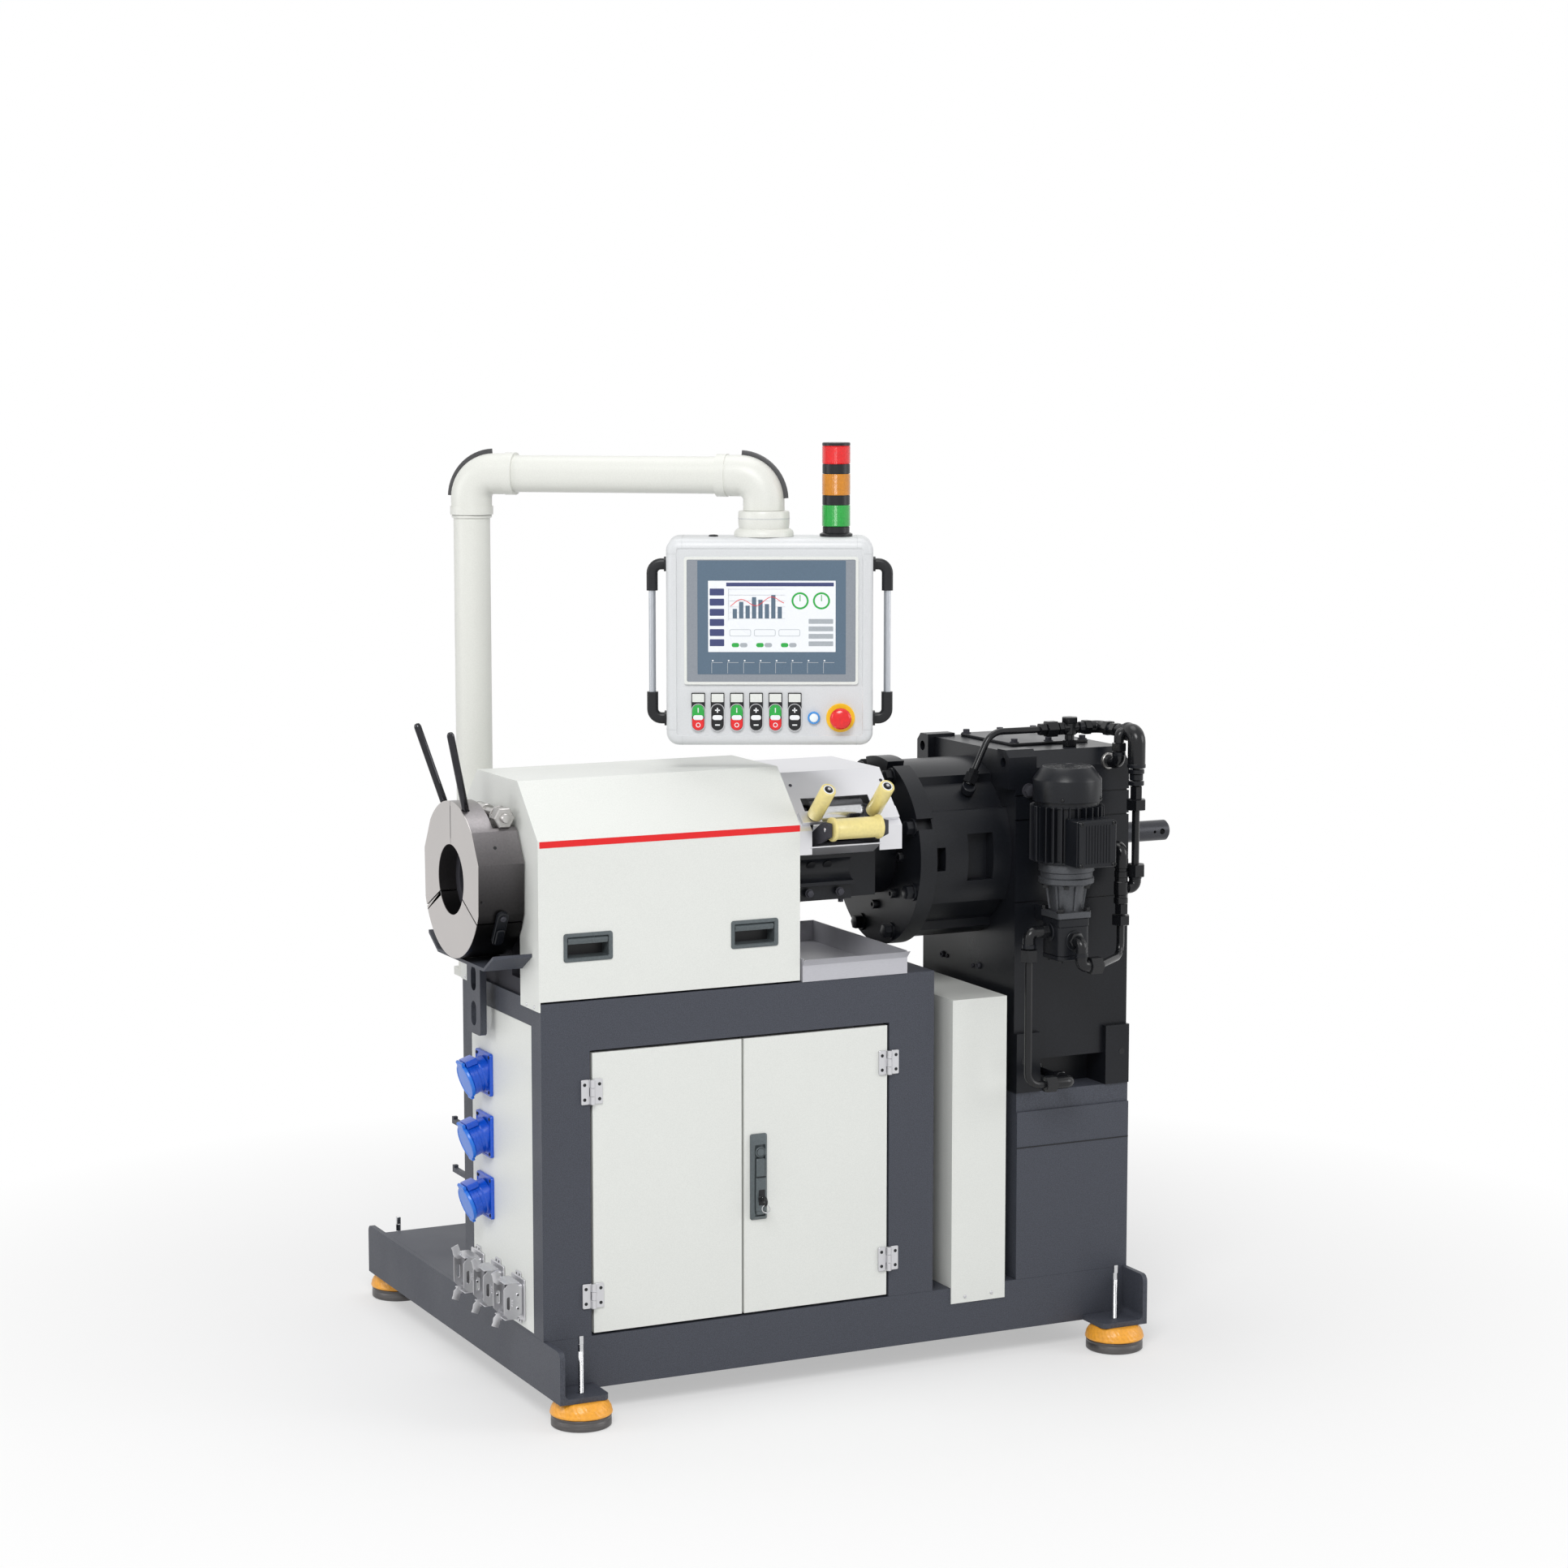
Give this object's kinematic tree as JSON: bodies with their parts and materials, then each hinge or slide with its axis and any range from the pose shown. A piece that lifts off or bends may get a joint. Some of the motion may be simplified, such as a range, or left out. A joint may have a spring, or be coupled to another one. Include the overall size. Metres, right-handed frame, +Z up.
{
  "type": "silicone extruder",
  "caption": "Floor-standing silicone extruder with control cabinet, covered barrel, clamped head, feed rollers, gearbox and swivelling operator panel.",
  "frame": {"origin": "middle of the bounding box, on the floor", "axes": "+X along the screw from the head to the gearbox, +Y to the back, +Z up"},
  "size_m": [1.599, 1.1886, 1.802],
  "materials": {
    "black_cast": "satin black over castings",
    "black_plastic": "satin black",
    "blue_plastic": "smooth moulded",
    "button_plastic": "coloured caps in metal rings",
    "dark_steel": "blackened",
    "display_front": "blue grey front with a glass screen",
    "foot_cap": "satin orange",
    "foot_metal": "dark, lightly polished",
    "graphite_paint": "fine structured powder coat, satin",
    "roller_plastic": "pale yellow, satin",
    "stainless": "brushed stainless sheet",
    "steel": "ground steel",
    "stop_red": "red head on a yellow plate",
    "tower_plastic": "coloured lenses between black rings",
    "white_paint": "smooth powder coat, satin",
    "zinc": "zinc plated, satin"
  },
  "bodies": {
    "frame": {"base_frame": "graphite_paint", "cross_angles": "graphite_paint", "foot_bases": "foot_metal", "foot_caps": "foot_cap", "foot_studs": "zinc", "cabinet": "graphite_paint", "side_panel": "white_paint", "frame_hinges": "zinc", "socket_bodies": "blue_plastic", "connectors": "zinc", "barrel_cover": "white_paint", "cover_cups": "black_plastic", "barrel": "steel", "barrel_rest": "dark_steel", "clamp_front_jaw": "steel", "clamp_back_jaw": "steel", "clamp_base": "steel", "swing_bolt": "zinc", "clamp_handles": "zinc", "clamp_links": "dark_steel", "catch_tray": "dark_steel", "slotted_bar": "dark_steel", "feed_block": "dark_steel", "feed_hood": "stainless", "roller_brackets": "dark_steel", "drip_pan": "stainless", "lantern": "black_cast", "gearbox": "black_cast", "pedestal": "graphite_paint", "drive_guard": "white_paint", "drive_motor": "black_cast", "pump_motor": "black_cast", "terminal_box": "black_cast", "lube_pump": "black_cast", "lube_pipes": "black_cast", "lube_fittings": "black_cast", "post": "white_paint"},
    "left_door": {"left_door": "white_paint", "left_door_hinges": "zinc"},
    "right_door": {"right_door": "white_paint", "right_door_hinges": "zinc", "lock_dish": "black_plastic"},
    "lock_lever": {"lock_lever": "black_plastic"},
    "socket_lid_top": {"socket_lid_top": "blue_plastic"},
    "socket_lid_mid": {"socket_lid_mid": "blue_plastic"},
    "socket_lid_low": {"socket_lid_low": "blue_plastic"},
    "guide_roller_a": {"guide_roller_a": "roller_plastic"},
    "guide_roller_b": {"guide_roller_b": "roller_plastic"},
    "cross_roller": {"cross_roller": "roller_plastic"},
    "feed_roll": {"feed_roll": "steel"},
    "screw": {"screw": "steel"},
    "arm": {"arm": "white_paint"},
    "panel": {"panel_coupling": "white_paint", "panel_housing": "white_paint", "display": "display_front", "push_buttons": "button_plastic", "emergency_stop": "stop_red", "panel_grips": "black_plastic", "light_tower": "tower_plastic"}
  },
  "joints": [
    {"name": "left_door_swing", "type": "hinge", "parent": "frame", "child": "left_door", "pos_m": [-0.5663, -0.4171, 0.42], "axis": [0, 0, -1], "range_deg": [0, 110]},
    {"name": "right_door_swing", "type": "hinge", "parent": "frame", "child": "right_door", "pos_m": [0.0528, -0.4171, 0.42], "axis": [0, 0, 1], "range_deg": [0, 110]},
    {"name": "lock_lever_lift", "type": "hinge", "parent": "right_door", "child": "lock_lever", "pos_m": [-0.22475, -0.4204, 0.467], "axis": [-1, 0, 0], "range_deg": [0, 35]},
    {"name": "socket_lid_top_flap", "type": "hinge", "parent": "frame", "child": "socket_lid_top", "pos_m": [-0.71696, -0.1281, 0.62823], "axis": [0, 1, 0], "range_deg": [0, 90], "stiffness_Nm_per_rad": 0.05, "springref_deg": -28.65},
    {"name": "socket_lid_mid_flap", "type": "hinge", "parent": "frame", "child": "socket_lid_mid", "pos_m": [-0.71696, -0.1281, 0.50853], "axis": [0, 1, 0], "range_deg": [0, 90], "stiffness_Nm_per_rad": 0.05, "springref_deg": -28.65},
    {"name": "socket_lid_low_flap", "type": "hinge", "parent": "frame", "child": "socket_lid_low", "pos_m": [-0.71696, -0.1281, 0.38883], "axis": [0, 1, 0], "range_deg": [0, 90], "stiffness_Nm_per_rad": 0.05, "springref_deg": -28.65},
    {"name": "guide_roller_a_spin", "type": "hinge", "parent": "frame", "child": "guide_roller_a", "pos_m": [-0.0995, -0.3901, 1.09202], "axis": [0, -0.7263, 0.6874], "continuous": true},
    {"name": "guide_roller_b_spin", "type": "hinge", "parent": "frame", "child": "guide_roller_b", "pos_m": [0.0245, -0.3901, 1.09202], "axis": [0, -0.7263, 0.6874], "continuous": true},
    {"name": "cross_roller_spin", "type": "hinge", "parent": "frame", "child": "cross_roller", "pos_m": [-0.0845, -0.4371, 1.077], "axis": [1, 0, 0], "continuous": true},
    {"name": "feed_roll_spin", "type": "hinge", "parent": "frame", "child": "feed_roll", "pos_m": [-0.0815, -0.3151, 1.082], "axis": [1, 0, 0], "continuous": true},
    {"name": "screw_spin", "type": "hinge", "parent": "frame", "child": "screw", "pos_m": [-0.6655, -0.2101, 0.996], "axis": [1, 0, 0], "continuous": true},
    {"name": "arm_swivel", "type": "hinge", "parent": "frame", "child": "arm", "pos_m": [-0.6195, 0.0349, 1.661], "axis": [0, 0, 1], "range_deg": [-50, 55]},
    {"name": "panel_swivel", "type": "hinge", "parent": "arm", "child": "panel", "pos_m": [-0.1695, -0.3231, 1.675], "axis": [0, 0, 1], "range_deg": [-60, 60]}
  ]
}
